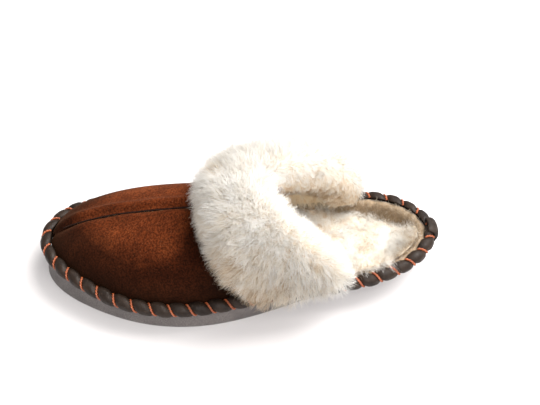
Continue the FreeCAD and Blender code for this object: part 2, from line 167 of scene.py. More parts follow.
def closed_samples(points, count):
    """A closed smooth curve through points, sampled at equal steps of its length."""
    points = np.array(points, float)
    steps = np.linalg.norm(np.roll(points, -1, axis=0) - points, axis=1)
    dense = curve_points(points, steps, 300, closed=True)
    dense = np.vstack([dense, dense[:1]])
    reach = length_along(dense)
    wanted = np.linspace(0, reach[-1], count, endpoint=False)
    return np.stack([np.interp(wanted, reach, dense[:, k]) for k in range(3)], 1), reach[-1]


def seam_samples(count):
    """Rising shares of the length along the centre seam, and its points there."""
    shares = np.array([row[0] for row in SEAM_LINE])
    points = np.array([(x, (0.5 - s) * WELT_LENGTH, z) for s, x, z in SEAM_LINE], float)
    steps = np.diff(shares)
    along = np.concatenate([share + np.linspace(0, step, count, endpoint=False)
                            for share, step in zip(shares, steps)])
    return along, curve_points(points, steps, count)


WELT, WELT_TOTAL = closed_samples(
    [(x * HALF_WIDTH, (0.5 - s) * WELT_LENGTH, inset) for s, x, inset in WELT_OUTLINE], 4000)
TANGENT = np.roll(WELT, -1, axis=0) - np.roll(WELT, 1, axis=0)
OUTWARD = np.stack([-TANGENT[:, 1], TANGENT[:, 0]], 1)
OUTWARD /= np.linalg.norm(OUTWARD, axis=1)[:, None]
SEAM_SHARES, SEAM_POINTS = seam_samples(60)


def same_shape(*values):
    """Numbers and arrays as arrays of one shape."""
    return np.broadcast_arrays(*(np.asarray(value, float) for value in values))


def welt_at(share):
    """Place in plan, outward direction and ground inset of the welt at shares of its way."""
    place = (np.asarray(share, float) % 1.0) * len(WELT)
    low = np.floor(place).astype(int) % len(WELT)
    high = (low + 1) % len(WELT)
    part = (place - np.floor(place))[..., None]
    point = WELT[low] * (1 - part) + WELT[high] * part
    outward = OUTWARD[low] * (1 - part) + OUTWARD[high] * part
    return point[..., :2], outward, point[..., 2]


def sheer(y):
    """Height of the welt's centre."""
    along = 0.5 - np.asarray(y) / WELT_LENGTH
    heel = SHEER_LOW + HEEL_RISE * ((LOW_SHARE - along) / LOW_SHARE) ** 2
    toe = SHEER_LOW + TOE_RISE * ((along - LOW_SHARE) / (1 - LOW_SHARE)) ** 2
    return np.where(along < LOW_SHARE, heel, toe)


def share_of(along, inner_side):
    """Share of the welt at a distance from the heel, on the outer or the inner side."""
    shares = np.arange(len(WELT)) / len(WELT)
    side = shares > TOE_SHARE if inner_side else shares <= TOE_SHARE
    gap = np.abs(WELT[:, 1] - (0.5 - along) * WELT_LENGTH)
    return shares[side][np.argmin(gap[side])]


TOE_SHARE = np.argmin(WELT[:, 1]) / len(WELT)
ARM_SHARES = {side: share_of(along, side < 0) for side, along in ARM_ENDS.items()}
SIDE_LENGTHS = {s: abs(TOE_SHARE - ARM_SHARES[s]) * WELT_TOTAL for s in (1, -1)}
SEAM_LENGTH = (SEAM_TIP - THROAT) * WELT_LENGTH


def from_spine(plan):
    """Direction in plan from the sole's spine, and the spine's point beside each place."""
    y = np.clip(plan[..., 1], -SPINE_REACH, SPINE_REACH)
    spine = np.stack([TOE_SWING * (y - SPINE_REACH) / (2 * SPINE_REACH), y], -1)
    away = plan - spine
    return away / np.linalg.norm(away, axis=-1)[..., None], spine


def drawn_in(ring, spine, reach):
    """A ring of points drawn in to a share of its way out from the sole's spine."""
    drawn = ring.copy()
    drawn[:, :2] = spine + (ring[:, :2] - spine) * reach
    return drawn


def wall_points(share, height, extra=0.0):
    """Points of the sole's outer wall, or extra mm inside it."""
    plan, outward, inset = welt_at(share)
    height = np.broadcast_to(np.asarray(height, float), plan.shape[:-1])
    rise = np.minimum(height / sheer(plan[..., 1]), 1.0)
    extra = np.broadcast_to(np.asarray(extra, float), plan.shape[:-1])
    place = plan - outward * (WALL_INSET + extra)[..., None]
    lean = inset * (1 - rise) ** np.where(inset > 0, 2, 1.6)
    place = place - from_spine(plan)[0] * lean[..., None]
    return np.concatenate([place, height[..., None]], -1)


def seam_at(share):
    """Points of the centre seam at shares of the length from the heel."""
    return np.stack([np.interp(share, SEAM_SHARES, SEAM_POINTS[:, k]) for k in range(3)], -1)


def vamp_points(side, along, across, depth, groove=2.6, lip=5.0):
    """Points of one half of the vamp: along 0 is the top line and 1 the toe, across 0 is the
    welt and 1 the seam; depth is how far inside the outer face they lie."""
    along, across, depth = same_shape(along, across, depth)
    share = ARM_SHARES[side] + (TOE_SHARE - ARM_SHARES[side]) * along
    plan, outward, _ = welt_at(share)
    foot = plan - outward * (WALL_INSET + depth)[..., None]
    base = sheer(foot[..., 1]) + 0.2
    tip = SEAM_TIP - np.maximum(depth, 0) / WELT_LENGTH
    crest = seam_at(THROAT + (tip - THROAT) * along)
    top = crest[..., 2] - depth
    angle = across * math.pi / 2
    flat = np.maximum(np.cos(angle), 0) ** ROUNDNESS
    raised = np.maximum(np.sin(angle), 0) ** ROUNDNESS
    x = crest[..., 0] + (foot[..., 0] - crest[..., 0]) * flat
    y = crest[..., 1] + (foot[..., 1] - crest[..., 1]) * flat ** RAY_BENDS[side]
    z = base + (top - base) * raised
    away = np.hypot(x - crest[..., 0], y - crest[..., 1])
    width = np.hypot(foot[..., 0] - crest[..., 0], foot[..., 1] - crest[..., 1])
    sink = groove * np.minimum(1.0, width / 30) * (depth >= 0)
    z = z - sink * np.exp(-((away / lip) ** 2) * 3)
    return np.stack([x, y, z], -1)


def vamp_length(side, across):
    """Length of the vamp from the top line to the toe, between the welt and the seam."""
    return SIDE_LENGTHS[side] + (SEAM_LENGTH - SIDE_LENGTHS[side]) * np.asarray(across)


def lowness(across):
    """How low on the vamp: 1 at the welt and 0 at the seam."""
    return 1 - np.sin(across * math.pi / 2)


def cuff_points(side, forward, across, depth):
    """Points near the top line: forward mm ahead of it, measured along the vamp."""
    return vamp_points(side, np.asarray(forward) / vamp_length(side, across), across, depth)


def normals_of(points):
    """Unit normals of a grid of points."""
    down = np.gradient(points, axis=0)
    over = np.gradient(points, axis=1)
    cross = np.cross(down, over)
    return cross / np.maximum(np.linalg.norm(cross, axis=-1), 1e-9)[..., None]


# ---- meshes


def facing_up(normals):
    """Normals turned over where they point down."""
    return normals * np.where(normals[..., 2:] < 0, -1, 1)


def facing(place, points, normals):
    """The normals of a grid of points, all turned over if they point away from a place."""
    towards = np.mean(np.sum(normals * (np.array(place) - points), -1))
    return -normals if towards < 0 else normals


def grid_quads(rows, columns, ring=False):
    """Faces of a grid of points; ring joins the last column to the first."""
    i, j = np.meshgrid(np.arange(rows - 1), np.arange(columns if ring else columns - 1),
                       indexing="ij")
    beside = (j + 1) % columns
    quads = np.stack([i * columns + j, i * columns + beside,
                      (i + 1) * columns + beside, (i + 1) * columns + j], -1)
    return quads.reshape(-1, 4)


def capped_rings(rows, columns, start=0):
    """Faces of a stack of rings of points, closed by a lid at each end."""
    faces = (grid_quads(rows, columns, ring=True) + start).tolist()
    last = start + (rows - 1) * columns
    faces.append(list(range(start, start + columns))[::-1])
    faces.append(list(range(last, last + columns)))
    return faces


def make_piece(name, points, faces, material):
    """A mesh object from points in millimetres, riding on the one body."""
    mesh = bpy.data.meshes.new(name)
    faces = faces.tolist() if hasattr(faces, "tolist") else faces
    mesh.from_pydata((np.asarray(points).reshape(-1, 3) * MM).tolist(), [], faces)
    mesh.polygons.foreach_set("use_smooth", [True] * len(mesh.polygons))
    mesh.materials.append(material)
    mesh.update()
    piece = bpy.data.objects.new(name, mesh)
    bpy.context.scene.collection.objects.link(piece)
    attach(piece, "root")
    return piece


def stacked_rings(name, points, material):
    """A closed piece from a stack of rings of points."""
    rows, columns, _ = points.shape
    piece = make_piece(name, points, capped_rings(rows, columns), material)
    face_out(piece)
    return piece


def sheet_piece(name, outer, inner, material):
    """A closed piece between two grids of points of the same size."""
    points, faces = closed_sheet(outer, inner)
    piece = make_piece(name, points, faces, material)
    face_out(piece)
    return piece


def add_values(piece, name, values):
    """A number for each point of a piece, which its material reads."""
    layer = piece.data.attributes.new(name, "FLOAT", "POINT")
    layer.data.foreach_set("value", np.asarray(values, np.float32).ravel())


def face_out(piece):
    """Turn a closed piece's faces to point outward."""
    work = bmesh.new()
    work.from_mesh(piece.data)
    bmesh.ops.recalc_face_normals(work, faces=work.faces)
    work.to_mesh(piece.data)
    work.free()


def closed_sheet(outer, inner):
    """Points and faces of a closed sheet between two grids of the same size."""
    rows, columns, _ = outer.shape
    count = rows * columns
    points = np.concatenate([outer.reshape(-1, 3), inner.reshape(-1, 3)])
    top = grid_quads(rows, columns)
    faces = [top, top[:, ::-1] + count]
    grid = np.arange(count).reshape(rows, columns)
    for edge in (grid[0], grid[-1][::-1], grid[:, 0][::-1], grid[:, -1]):
        faces.append(np.stack([edge[:-1], edge[:-1] + count, edge[1:] + count, edge[1:]], 1))
    return points, np.concatenate(faces)


# ---- materials


class Recipe:
    """A short way to wire a procedural material."""

    def __init__(self, name):
        self.material = bpy.data.materials.new(name)
        self.material.use_nodes = True
        self.tree = self.material.node_tree
        self.shader = self.tree.nodes["Principled BSDF"]
        self.place = self.node("ShaderNodeTexCoord").outputs["Object"]

    def node(self, kind, inputs=(), **settings):
        """A new node with its settings and inputs."""
        node = self.tree.nodes.new(kind)
        for key, value in settings.items():
            setattr(node, key, value)
        self.fill(node, inputs)
        return node

    def fill(self, node, inputs):
        """Give a node's inputs numbers, colours or the outputs of other nodes."""
        for key, value in dict(inputs).items():
            socket = node.inputs[key]
            if isinstance(value, bpy.types.NodeSocket):
                self.tree.links.new(value, socket)
            elif socket.type == "RGBA":
                socket.default_value = (*value, 1.0)
            else:
                socket.default_value = value

    def noise(self, scale, detail=4.0, rough=0.55, stretch=None):
        place = self.place
        if stretch is not None:
            mapping = self.node("ShaderNodeMapping", {"Scale": stretch, "Vector": place})
            place = mapping.outputs["Vector"]
        texture = self.node("ShaderNodeTexNoise", {"Scale": scale, "Detail": detail,
                                                   "Roughness": rough, "Vector": place})
        return texture.outputs["Fac"]

    def cells(self, scale):
        texture = self.node("ShaderNodeTexVoronoi", {"Scale": scale, "Vector": self.place})
        return texture.outputs["Distance"]

    def ramp(self, value, stops):
        ramp = self.node("ShaderNodeValToRGB", {"Fac": value})
        elements = ramp.color_ramp.elements
        while len(elements) < len(stops):
            elements.new(0.5)
        for element, (position, colour) in zip(elements, stops):
            element.position = position
            element.color = (*colour, 1.0)
        return ramp.outputs["Color"]

    def mottle(self, scale, detail, dark, light, rough=0.55):
        return self.ramp(self.noise(scale, detail, rough), [(0.3, dark), (0.7, light)])

    def mix(self, factor, one, other, blend="MIX"):
        # A colour mix keeps its two colours in inputs 6 and 7 and its result in output 2.
        node = self.tree.nodes.new("ShaderNodeMix")
        node.data_type = "RGBA"
        node.blend_type = blend
        self.fill(node, {0: factor, 6: one, 7: other})
        return node.outputs[2]

    def maths(self, operation, one, other):
        return self.node("ShaderNodeMath", {0: one, 1: other}, operation=operation).outputs[0]

    def value(self, name):
        return self.node("ShaderNodeAttribute", attribute_name=name).outputs["Fac"]

    def finish(self, colour, roughness=0.8, bumps=(), inputs=()):
        """The material, with bumps as (height, distance, strength) and more shader inputs."""
        self.fill(self.shader, {"Base Color": colour, "Roughness": roughness})
        self.fill(self.shader, inputs)
        for height, distance, strength in bumps:
            bump = self.node("ShaderNodeBump", {"Distance": distance, "Strength": strength,
                                                "Height": height})
            for link in self.shader.inputs["Normal"].links:
                self.tree.links.new(link.from_socket, bump.inputs["Normal"])
            self.fill(self.shader, {"Normal": bump.outputs["Normal"]})
        return self.material


def sole_suede():
    """Grey napped leather with fine pale and dark specks."""
    r = Recipe("sole_suede")
    broad = r.mottle(55, 3, (0.118, 0.104, 0.099), (0.180, 0.160, 0.152))
    specks = r.ramp(r.noise(1900, 2, 0.7), [(0.42, (0.55, 0.54, 0.54)), (0.62, (1.35, 1.33, 1.33))])
    colour = r.mix(0.8, broad, specks, "MULTIPLY")
    return r.finish(colour, 0.92, [(r.noise(1300, 4), 0.00025, 0.6)],
                    {"Sheen Weight": 0.25})


def vamp_suede():
    """Reddish-brown suede: brushed nap in patches, fine pores and paler rubbed spots, darkened by
    painted shade towards the welt and the cuff.
    """
    r = Recipe("vamp_suede")
    patches = r.ramp(r.noise(38, 5, 0.6, (1, 0.7, 1)),
                     [(0.25, (0.044, 0.0090, 0.0028)), (0.5, (0.100, 0.0215, 0.0060)),
                      (0.78, (0.195, 0.0470, 0.0130))])
    nap = r.ramp(r.noise(820, 3, 0.65), [(0.38, (0.40, 0.37, 0.35)), (0.62, (1.6, 1.6, 1.6))])
    colour = r.mix(0.9, patches, nap, "MULTIPLY")
    dots = r.ramp(r.noise(2200, 1, 0.5), [(0.64, (0, 0, 0)), (0.74, (1, 1, 1))])
    colour = r.mix(r.maths("MULTIPLY", dots, 0.4), colour, (0.40, 0.17, 0.08))
    # Painted shade: the edge value darkens the suede low by the welt, in the cuff's shadow and on
    # the outer panel, broken up by a little noise.
    painted_shade = r.maths("ADD", r.value("edge"), r.maths("MULTIPLY", r.noise(60, 3), 0.25))
    dark = r.ramp(painted_shade, [(0.12, (0.08, 0.10, 0.14)), (0.65, (0.22, 0.22, 0.25)),
                            (1.0, (1, 1, 1))])
    colour = r.mix(1.0, colour, dark, "MULTIPLY")
    bumps = [(r.noise(1500, 4, 0.6), 0.0003, 0.7), (r.noise(240, 3, 0.6), 0.0006, 0.35)]
    return r.finish(colour, 0.95, bumps, {"Specular IOR Level": 0.04, "Sheen Weight": 0.07,
                                          "Sheen Tint": (0.9, 0.4, 0.2)})


def binding_leather():
    """Smooth dark brown leather, waxed, with fine grain and small creases."""
    r = Recipe("binding_leather")
    tone = r.mottle(120, 4, (0.009, 0.005, 0.003), (0.028, 0.016, 0.010))
    worn = r.ramp(r.noise(420, 3, 0.65), [(0.58, (0, 0, 0)), (0.75, (1, 1, 1))])
    colour = r.mix(r.maths("MULTIPLY", worn, 0.3), tone, (0.10, 0.065, 0.045))
    rough = r.mottle(300, 3, (0.42, 0.42, 0.42), (0.66, 0.66, 0.66))
    grain = r.cells(1500)
    creases = r.noise(260, 4, 0.6, (1, 1, 2))
    return r.finish(colour, rough, [(grain, 0.00018, 0.5), (creases, 0.0007, 0.5)],
                    {"Specular IOR Level": 0.24})


def lacing_thread():
    """Waxed orange thread, darkened by painted shade where it runs down under the binding into its
    hole.
    """
    r = Recipe("lacing_thread")
    tone = r.mottle(500, 2, (0.24, 0.050, 0.014), (0.42, 0.100, 0.026))
    # Painted shade: the thread darkens towards its lower end, under the binding and in its hole.
    low = r.ramp(r.value("end"), [(0.12, (0.055, 0.030, 0.020)), (0.34, (1, 1, 1))])
    colour = r.mix(1.0, tone, low, "MULTIPLY")
    return r.finish(colour, 0.42, [(r.noise(3500, 2), 0.0001, 0.4)],
                    {"Coat Weight": 0.3, "Coat Roughness": 0.35})


CREAM = [(0.0, (0.50, 0.32, 0.16)), (0.3, (0.75, 0.59, 0.40)), (0.55, (0.93, 0.865, 0.75)),
         (0.85, (0.97, 0.955, 0.92))]
# GOLD, the wool inside the vamp, is kept pale as painted light, so the throat's shaded hollow reads
# lighter.
GOLD = [(0.0, (0.70, 0.48, 0.25)), (0.5, (0.92, 0.77, 0.54)), (1.0, (0.97, 0.91, 0.78))]
# TAN, the heel lining's wool, is dark partly as painted shade for the inside of the heel wall.
TAN = [(0.0, (0.24, 0.15, 0.08)), (0.5, (0.46, 0.34, 0.21)), (1.0, (0.72, 0.61, 0.47))]


def wool(name, shades):
    """Wool fibres: a shade for each lock, darker and warmer towards the skin, and thin
    enough to let light through."""
    r = Recipe(name)
    colour = r.ramp(r.value("tone"), shades)
    through = r.node("ShaderNodeBsdfTranslucent", {"Color": colour})
    both = r.node("ShaderNodeMixShader", {0: 0.5, 1: r.shader.outputs["BSDF"],
                                          2: through.outputs["BSDF"]})
    r.fill(r.tree.nodes["Material Output"], {"Surface": both.outputs["Shader"]})
    return r.finish(colour)


def cloth_wool(name, dark, light):
    """The matted base of the wool, which shows only between the fibres."""
    r = Recipe(name)
    colour = r.mottle(260, 5, dark, light, 0.65)
    return r.finish(colour, 0.95, [(r.noise(520, 4, 0.7), 0.0012, 0.8)],
                    {"Sheen Weight": 0.3})


def plain_hide():
    """The flesh side of the tanned skin: dark red-brown suede."""
    r = Recipe("hide_suede")
    colour = r.mottle(300, 4, (0.085, 0.020, 0.012), (0.19, 0.05, 0.03))
    return r.finish(colour, 0.9, [(r.noise(1400, 3), 0.0003, 0.6)], {"Sheen Weight": 0.2})


def tanned_hide():
    """Undyed tanned skin under the footbed's wool."""
    r = Recipe("tanned_hide")
    colour = r.mottle(200, 4, (0.42, 0.28, 0.15), (0.55, 0.39, 0.22))
    return r.finish(colour, 0.85, [(r.noise(900, 3), 0.0003, 0.5)])


def foam():
    """Pale closed-cell foam."""
    r = Recipe("foam")
    colour = r.ramp(r.cells(900), [(0.1, (0.45, 0.42, 0.36)), (0.6, (0.62, 0.60, 0.54))])
    return r.finish(colour, 0.95, [(r.cells(900), 0.0004, 0.6)])


def dark_thread():
    """Dark brown sewing thread."""
    r = Recipe("dark_thread")
    colour = r.mottle(900, 2, (0.010, 0.005, 0.004), (0.03, 0.014, 0.010))
    return r.finish(colour, 0.9, [(r.noise(2500, 2), 0.0001, 0.5)],
                    {"Specular IOR Level": 0.1})


# ---- sole


def stitch_share(i):
    """Where a stitch crosses the welt."""
    return (i + 0.5) / STITCHES


# The height over which the sole's underside rounds into its wall.
FOOT_ROUNDING = 1.2


def make_outsole(material):
    """The turned-up sole as one closed skin: flat underneath, rounded into a convex wall,
    a little drawn in at each stitch hole, and hollow inside."""
    shares = np.arange(480) / 480
    plan, _, _ = welt_at(shares)
    top = sheer(plan[:, 1]) - 0.2
    _, spine = from_spine(plan)
    ground = wall_points(shares, 0.0, 1.6)
    rings = [drawn_in(ground, spine, reach) for reach in (0.02, 0.35, 0.7, 0.93)]
    for height, inside in ((0.0, 1.5), (0.12, 0.75), (0.5, 0.22), (FOOT_ROUNDING, 0.0)):
        rings.append(wall_points(shares, height, inside))
    phase = (shares * STITCHES) % 1.0 - 0.5
    hole = np.exp(-(phase * WELT_TOTAL / STITCHES / 2.2) ** 2)
    for level in np.linspace(0.1, 1.0, 16):
        height = FOOT_ROUNDING + (top - FOOT_ROUNDING) * level
        drawn = 0.55 * hole * np.exp(-((top - height - DROP) / 2.5) ** 2)
        rings.append(wall_points(shares, height, drawn))
    for level in np.linspace(1.0, 0.12, 8):
        rings.append(wall_points(shares, top * level, LEATHER))
    inside_floor = wall_points(shares, LEATHER, LEATHER + 0.6)
    rings += [drawn_in(inside_floor, spine, reach) for reach in (0.9, 0.5, 0.02)]
    piece = stacked_rings("sole_leather", np.stack(rings), material)
    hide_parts("outsole")


def make_cushion_pad(material):
    """The foam pad inside the sole, with rounded edges and a slight crown."""
    shares = np.arange(160) / 160
    plan, _, _ = welt_at(shares)
    _, spine = from_spine(plan)
    low, high = (box[2] for box in node_box("cushion_pad"))
    rings = []
    edge = wall_points(shares, low, LEATHER + 1.0)
    steps = [(0.02, 0.0), (0.5, 0.0), (0.9, 0.0), (0.985, 0.12), (1.0, 0.4), (1.0, 0.6),
             (0.985, 0.86), (0.93, 0.97), (0.5, 1.0), (0.02, 1.0)]
    for reach, level in steps:
        ring = drawn_in(edge, spine, reach)
        ring[:, 2] = low + (high - low) * level
        rings.append(ring)
    piece = stacked_rings("foam_pad", np.stack(rings), material)
    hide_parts("cushion_pad")


# ---- welt


def along_vector(outward):
    """Direction along the welt, towards the toe on the outer side."""
    return np.stack([outward[..., 1], -outward[..., 0]], -1)


def stitch_lean(degrees):
    """How far along the welt a slanted stitch lies at an angle round it."""
    return SLANT * ((np.asarray(degrees) + 95) / 208 - 0.5)


def pinch(share, degrees):
    """How tightly the stitches draw the binding in, from 0 between them to 1 under one."""
    lean = stitch_lean(degrees)
    place = np.asarray(share) * WELT_TOTAL - lean
    pitch = WELT_TOTAL / STITCHES
    away = (place / pitch) % 1.0 - 0.5
    return np.exp(-(away * pitch / 2.4) ** 2)


# How full the binding is between the stitches, as random shares.
PUFFS = np.random.default_rng(7).uniform(0.0, 1.0, STITCHES)


def binding_radius(share, degrees):
    """The rolled strip's radius: full between the stitches, nipped in under each."""
    puff = np.interp(np.asarray(share) * STITCHES % STITCHES, np.arange(STITCHES), PUFFS)
    full = BINDING + 0.2 + 0.5 * puff
    return full - (1.5 + 0.4 * puff) * pinch(share, degrees)


def round_points(share, radius, degrees, shift=0.0):
    """Points round the welt's centre; 0 degrees is outward and 90 is up."""
    share, radius, degrees, shift = same_shape(share, radius, degrees, shift)
    plan, outward, _ = welt_at(share)
    angle = np.radians(degrees)
    place = plan + outward * (radius * np.cos(angle))[..., None]
    place = place + along_vector(outward) * shift[..., None]
    height = sheer(plan[..., 1]) + radius * np.sin(angle)
    return np.concatenate([place, height[..., None]], -1)


def make_binding(material):
    """The leather strip folded over the edge, puffed between the stitches, as one closed
    skin with a mouth towards the foot."""
    count = 1440
    shares = 0.001 + 0.998 * np.arange(count) / (count - 1)
    outside = np.linspace(-130, 130, 27)
    inside = outside[::-1]
    share_grid, angle_grid = np.meshgrid(shares, outside, indexing="ij")
    outer = round_points(share_grid, binding_radius(share_grid, angle_grid), angle_grid)
    share_in, angle_in = np.meshgrid(shares, inside, indexing="ij")
    radius_in = binding_radius(share_in, angle_in) - BINDING_LEATHER
    inner = round_points(share_in, radius_in, angle_in)
    piece = stacked_rings("binding_strip", np.concatenate([outer, inner], axis=1), material)
    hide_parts("welt_binding")


def stitch_route(i, steps):
    """The middle line of one whip stitch, lying in the nip that it makes."""
    share = stitch_share(i)
    plan, outward, _ = welt_at(share)
    height = float(sheer(plan[1]))
    along = along_vector(outward)
    points = []
    for fall in (DROP, DROP * 0.86, DROP * 0.72):
        wall = wall_points(share, height - fall)
        stand = THREAD * (0.1 if fall == DROP else 0.75)
        wall[:2] += outward * stand - along * (SLANT / 2)
        points.append(wall)
    for degrees in (-95, -70, -45, -20, 5, 30, 55, 80, 100, 122):
        lean = float(stitch_lean(degrees))
        radius = float(binding_radius(share + lean / WELT_TOTAL, degrees)) + THREAD * 0.62
        points.append(round_points(share, radius, degrees, lean))
    points = np.array(points)
    reach = length_along(points)
    return on_curve(points, reach, np.linspace(0, reach[-1], steps))


def twisted_plies(route, radius, ply_radius, turns, sides, start, plies=2):
    """Tubes wound round a route, as the plies of a thread; their faces count from start."""
    steps = len(route)
    tangent = np.gradient(route, axis=0)
    tangent /= np.linalg.norm(tangent, axis=1)[:, None]
    side = np.cross(tangent, [0.0, 0.0, 1.0])
    side /= np.maximum(np.linalg.norm(side, axis=1), 1e-6)[:, None]
    up = np.cross(side, tangent)
    points, faces = [], []
    for ply in range(plies):
        turn = 2 * math.pi * (np.linspace(0, turns, steps) + ply / plies)
        centre = route + radius * (side * np.cos(turn)[:, None] + up * np.sin(turn)[:, None])
        around = 2 * math.pi * np.arange(sides) / sides
        ring = centre[:, None] + ply_radius * (side[:, None] * np.cos(around)[None, :, None]
                                               + up[:, None] * np.sin(around)[None, :, None])
        first = start + len(points) * steps * sides
        points.append(ring.reshape(-1, 3))
        faces += capped_rings(steps, sides, first)
    return np.concatenate(points), faces


def make_stitches(material):
    """Every whip stitch as a two-ply waxed thread."""
    points, faces, ends = [], [], []
    total = 0
    steps, sides = 44, 7
    for i in range(STITCHES):
        route = stitch_route(i, steps)
        tube, tube_faces = twisted_plies(route, 0.36, 0.46, 5.5, sides, total)
        points.append(tube)
        faces += tube_faces
        total += len(tube)
        ends.append(np.tile(np.repeat(np.linspace(0, 1, steps), sides), 2))
    piece = make_piece("lacing", np.concatenate(points), faces, material)
    add_values(piece, "end", np.concatenate(ends))
    face_out(piece)
    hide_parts("whip_stitches")


TAB_LEATHER = 1.5
TAB_HALF_WIDTH = 6.2
TAB_DROP = 12.5


def make_heel_tab(material):
    """The short leather tab over the binding's joint, with rolled edges."""
    plan, _, _ = welt_at(0.0)
    height = float(sheer(plan[1]))
    angles = np.radians(np.arange(100, -31, -10))
    rolled = (BINDING + 0.75) * np.stack([np.cos(angles), np.sin(angles)], 1)
    hanging = rolled[-1] - np.outer([0.25, 0.5, 0.75, 1.0], [2.4, TAB_DROP])
    across = np.linspace(-1, 1, 17)
    edges = 1 - 0.7 * np.abs(across) ** 6
    grids = []
    for lift in (TAB_LEATHER, 0.0):
        rows = []
        for k, (out, up) in enumerate(np.concatenate([rolled, hanging])):
            taper = 1.0 - 0.35 * max(0.0, (k - len(rolled)) / 3) ** 2
            base, outward, _ = welt_at(-across * TAB_HALF_WIDTH * taper / WELT_TOTAL)
            scale = 1 + lift * edges / math.hypot(out, up)
            place = base + outward * (out * scale)[:, None]
            rows.append(np.concatenate([place, (height + up * scale)[:, None]], 1))
        grids.append(np.array(rows))
    piece = sheet_piece("tab", grids[0], grids[1], material)
    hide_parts("heel_tab")


# ---- vamp


def ripple(side, along, across):
    """Small puckers where the stitches draw the suede to the welt, fading up the vamp."""
    share = ARM_SHARES[side] + (TOE_SHARE - ARM_SHARES[side]) * along
    phase = share * STITCHES * 2 * math.pi
    return np.cos(phase) * np.exp(-((across * 9) ** 2)) * 0.55


# How high the suede puffs up beside the centre seam.
LIP_HEIGHTS = {1: 0.9, -1: 2.2}


def make_vamp_panel(name, side, material):
    """One suede half: domed, puffy along the centre seam and puckered at the welt."""
    along = np.linspace(0.0, 0.988, 210)
    across = (1 - (1 - np.linspace(0, 1, 100)) ** 1.5) * 0.9965
    along, across = np.meshgrid(along, across, indexing="ij")
    grids = []
    for depth in (0.0, VAMP_LEATHER):
        grid = vamp_points(side, along, across, depth, groove=3.4, lip=4.2)
        crest = vamp_points(side, along, 1.0, depth, groove=0)
        away = np.linalg.norm(grid - crest, axis=-1)
        fade = np.minimum(1.0, (1 - along) * 8) * np.minimum(1.0, along * 40 + 0.5)
        puff = LIP_HEIGHTS[side] * np.exp(-((away - 5.2) / 3.6) ** 2) * fade
        wave = 0.35 * np.sin(along * 31 + side) * np.exp(-(away / 12) ** 2)
        grid[..., 2] += puff + wave
        grid += facing_up(normals_of(grid)) * ripple(side, along, across)[..., None]
        grids.append(grid)
    piece = sheet_piece(name, grids[0], grids[1], material)
    # The material reads how far a point is from the welt and the cuff, and paints shade near them:
    # the shade low by the welt and the cuff's shadow; the outer panel gets a little more painted
    # shade all over.
    welt_gap = np.linalg.norm(grids[0] - vamp_points(side, along, 0.0, 0.0), axis=-1)
    cuff_gap = along * vamp_length(side, across) - cuff_reach(across)
    beside = 0.85 * np.exp(-(np.maximum(cuff_gap, 0) / 24) ** 2) * (1 - across ** 3)
    edge = np.clip(welt_gap / 42, 0, 1) * (1 - beside) * (0.85 if side > 0 else 1.0)
    add_values(piece, "edge", np.tile(edge.ravel(), 2))
    return piece


# ---- wool

# How many fibres each wool piece gets.
FUR_CUFF = (15000, 15000, 15000, 15000)
FUR_FOOTBED = (13000, 13000)
FUR_LINING = 8000
FUR_VAMP = 5000


def nearest(points, seeds):
    """Index of the nearest seed for each point."""
    tree = KDTree(len(seeds))
    for i, seed in enumerate(seeds):
        tree.insert(seed, i)
    tree.balance()
    return np.array([tree.find(point)[1] for point in points])


def unit(vectors):
    """Vectors at length one."""
    return vectors / np.maximum(np.linalg.norm(vectors, axis=-1, keepdims=True), 1e-9)


def lumps(points, size, seed):
    """Smooth seeded unevenness, about -1 to 1, with features of a size in mm."""
    shift = Vector((seed * 17.3, seed * 5.1, seed * 9.7))
    flat = points.reshape(-1, 3) / size
    values = [noise.noise(Vector(point) + shift) for point in flat]
    return np.array(values).reshape(points.shape[:-1])


def sample_grid(grid, count, rng, weights=None):
    """Random places on a grid of points, evenly by area: their row and column positions."""
    down = np.diff(grid, axis=0)[:, :-1]
    over = np.diff(grid, axis=1)[:-1]
    area = np.linalg.norm(np.cross(down, over), axis=-1)
    if weights is not None:
        area = area * weights[:-1, :-1]
    chosen = rng.choice(area.size, count, p=(area / area.sum()).ravel())
    i, j = np.unravel_index(chosen, area.shape)
    return i + rng.uniform(0, 1, count), j + rng.uniform(0, 1, count)


def read_grid(grid, i, j):
    """Values of a grid at fractional rows and columns."""
    low_i = np.minimum(np.floor(i).astype(int), grid.shape[0] - 2)
    low_j = np.minimum(np.floor(j).astype(int), grid.shape[1] - 2)
    u, v = i - low_i, j - low_j
    if grid.ndim == 3:
        u, v = u[:, None], v[:, None]
    return (grid[low_i, low_j] * (1 - u) * (1 - v) + grid[low_i + 1, low_j] * u * (1 - v)
            + grid[low_i, low_j + 1] * (1 - u) * v + grid[low_i + 1, low_j + 1] * u * v)


def smooth_rows(rows, times):
    """A grid with more rows, on smooth curves through the given ones."""
    flat = rows.reshape(len(rows), -1)
    targets = np.linspace(0, len(rows) - 1, (len(rows) - 1) * times + 1)
    smooth = on_curve(flat, np.arange(len(rows), dtype=float), targets)
    return smooth.reshape(-1, *rows.shape[1:])


def height_map(points, low, high):
    """The greatest height of a cloud of points in each 1 mm square of the plan."""
    shape = (high - low + 1).astype(int)
    heights = np.full(tuple(shape), -1.0)
    cells = np.round(points[:, :2] - low).astype(int)
    np.maximum.at(heights, (cells[:, 0], cells[:, 1]), points[:, 2])
    return heights


PLAN_LOW, PLAN_HIGH = np.array([-90.0, -180.0]), np.array([90.0, 180.0])


def vamp_heights():
    """Heights of the vamp's outer face over the plan, or -1 off it."""
    along, across = np.meshgrid(np.linspace(0, 1, 500), np.linspace(0, 1, 260), indexing="ij")
    cloud = [vamp_points(side, along, across, 0.0).reshape(-1, 3) for side in (1, -1)]
    return height_map(np.concatenate(cloud), PLAN_LOW, PLAN_HIGH)


VAMP_TOP = vamp_heights()


